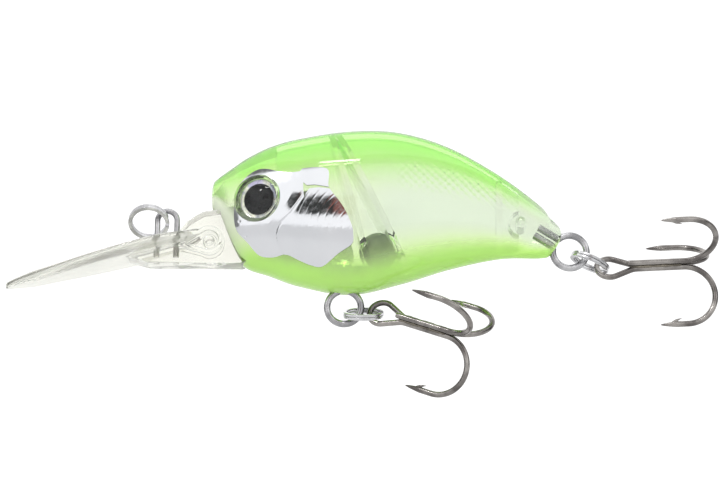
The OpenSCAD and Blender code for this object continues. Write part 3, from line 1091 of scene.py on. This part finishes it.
def make_ballast():
    """Steel ball with the shallow pits of a cast shot."""
    low, high = box_mm("ballast_ball")
    b = bmesh.new()
    bmesh.ops.create_icosphere(b, subdivisions=5, radius=(high[0] - low[0]) / 2 * MM)
    pits = np.random.default_rng(7).normal(size=(26, 3))
    pits /= np.linalg.norm(pits, axis=1)[:, None]
    for v in b.verts:
        near = np.arccos(np.clip(pits @ np.array(v.co.normalized()), -1, 1))
        v.co *= 1 - PIT_DEPTH * float(np.exp(-((near / PIT_ANGLE) ** 2)).sum())
    mesh = bpy.data.meshes.new("ballast_shot")
    b.to_mesh(mesh)
    b.free()
    mesh.transform(Matrix.Translation(Vector(middle("ballast_ball") * MM)))
    return shade(add_object("ballast_shot", mesh), 60)


# ---------------------------------------------------------------- assembly

for word, side in SIDES.items():
    finish_piece(body_half(side, f"{word}_shell"), CLEAR_GREEN, "lure", "body_clear_green", f"body_{word}")
    plate = cheek_plate(side, f"{word}_cheek_chrome")
    finish_piece(plate, CHROME, "lure", "chrome_foil", f"{word}_cheek_plate")
    make_eye(side, word)

finish_piece(make_bill(), CLEAR_BILL, "lure", "bill_clear", "bill")
finish_piece(line_tie(), WIRE_STEEL, "lure", "steel_wire", "line_tie_wire")
for word in HANGERS:
    finish_piece(hanger(word), WIRE_STEEL, "lure", "steel_wire", f"{word}_hanger")
for word, (body, centre, tilt, axis) in RINGS.items():
    ring = split_ring(f"{word}_split_ring", centre, tilt, axis)
    finish_piece(ring, RING_STEEL, body, "steel_ring", f"{word}_ring")
for word in TREBLES:
    make_treble(word)
finish_piece(make_ballast(), BALLAST, "ballast", "ballast_steel", "ballast_ball")


# ---------------------------------------------------------------- stage, light and camera

FLOOR_SIZE = 2500
FLOOR_Z = -112
SKY = 1.22
WHITE = (1, 1, 1, 1)
DARK = (0.012, 0.014, 0.012, 1)
WARM = (0.22, 0.07, 0.05, 1)
# What the camera looks at in millimetres, its elevation in degrees, and its distance in metres.
TARGET = (27.6, 0, -2.86)
ELEVATION = -15
DISTANCE = 0.286


def make_floor():
    corners = [(-1, -1), (1, -1), (1, 1), (-1, 1)]
    obj = to_object("floor", [(x * FLOOR_SIZE, y * FLOOR_SIZE, FLOOR_Z) for x, y in corners], [range(4)])
    s = Shader("pale floor", Roughness=0.7)
    s.link(s.mix(s.noise(6, 3), srgb(218, 218, 218), srgb(212, 212, 212)), "Base Color")
    obj.data.materials.append(s.material)


def make_world():
    """White all round. Mirror reflections alone see a few dark shapes, as they do in a studio."""
    world = bpy.data.worlds.new("studio")
    bpy.context.scene.world = world
    world.use_nodes = True
    world.node_tree.nodes.clear()
    s = Nodes(world.node_tree)
    way = s.node("ShaderNodeSeparateXYZ", {0: s.node("ShaderNodeTexCoord").outputs["Generated"]}).outputs
    x, y, z = way[0], way[1], way[2]
    # A card in front just above the level, an end on each side, and a strip high in front.
    near = s.ramp(y, -0.05, -0.35)
    card = s.times(near, s.ramp(z, 0.12, 0.14), s.ramp(z, 0.33, 0.30))
    card = s.times(card, s.ramp(x, -0.30, -0.26), s.ramp(x, 0.08, 0.05))
    ends = s.times(s.ramp(s.math("ABSOLUTE", x), 0.80, 0.90), s.ramp(z, 0.75, 0.4))
    strip = s.times(near, s.ramp(z, 0.66, 0.70), s.ramp(z, 0.84, 0.80))
    cover = s.math("MAXIMUM", s.times(card, 0.97), s.times(ends, 0.8))
    cover = s.math("MAXIMUM", cover, s.times(strip, 0.85))
    # The card's part towards +X is warm, and all the rest is dark.
    shapes = s.mix(s.times(card, s.ramp(x, -0.13, -0.10)), DARK, WARM)
    mirrored = s.node("ShaderNodeLightPath").outputs["Is Glossy Ray"]
    seen = s.mix(mirrored, WHITE, s.mix(cover, WHITE, shapes))
    sky = s.node("ShaderNodeBackground", {"Color": seen, "Strength": SKY})
    s.node("ShaderNodeOutputWorld", {"Surface": sky.outputs[0]})


def area_light(name, place, aim, size, power):
    """Rectangular light at a place, turned to its aim. All are in metres and watts."""
    data = bpy.data.lights.new(name, "AREA")
    data.shape = "RECTANGLE"
    data.size, data.size_y = size
    data.energy = power
    obj = add_object(name, data)
    obj.location = place
    obj.rotation_mode = "QUATERNION"
    obj.rotation_quaternion = (Vector(aim) - Vector(place)).to_track_quat("-Z", "Y")


def make_camera():
    data = bpy.data.cameras.new("camera")
    data.lens, data.sensor_width, data.clip_start = 100, 36, 0.01
    obj = add_object("camera", data)
    tilt = math.radians(ELEVATION)
    back = Vector((0, -math.cos(tilt), math.sin(tilt)))
    obj.location = Vector(TARGET) * MM + back * DISTANCE
    obj.rotation_mode = "QUATERNION"
    obj.rotation_quaternion = (-back).to_track_quat("-Z", "Y")
    bpy.context.scene.camera = obj


make_floor()
make_world()
area_light("soft key", (-0.01, -0.32, 0.37), (0.02, 0, 0.01), (0.11, 0.022), 0.12)
area_light("window", (-0.135, -0.27, 0.24), (0.013, -0.005, 0.002), (0.04, 0.034), 0.12)
make_camera()
bpy.context.scene.view_settings.view_transform = "Standard"
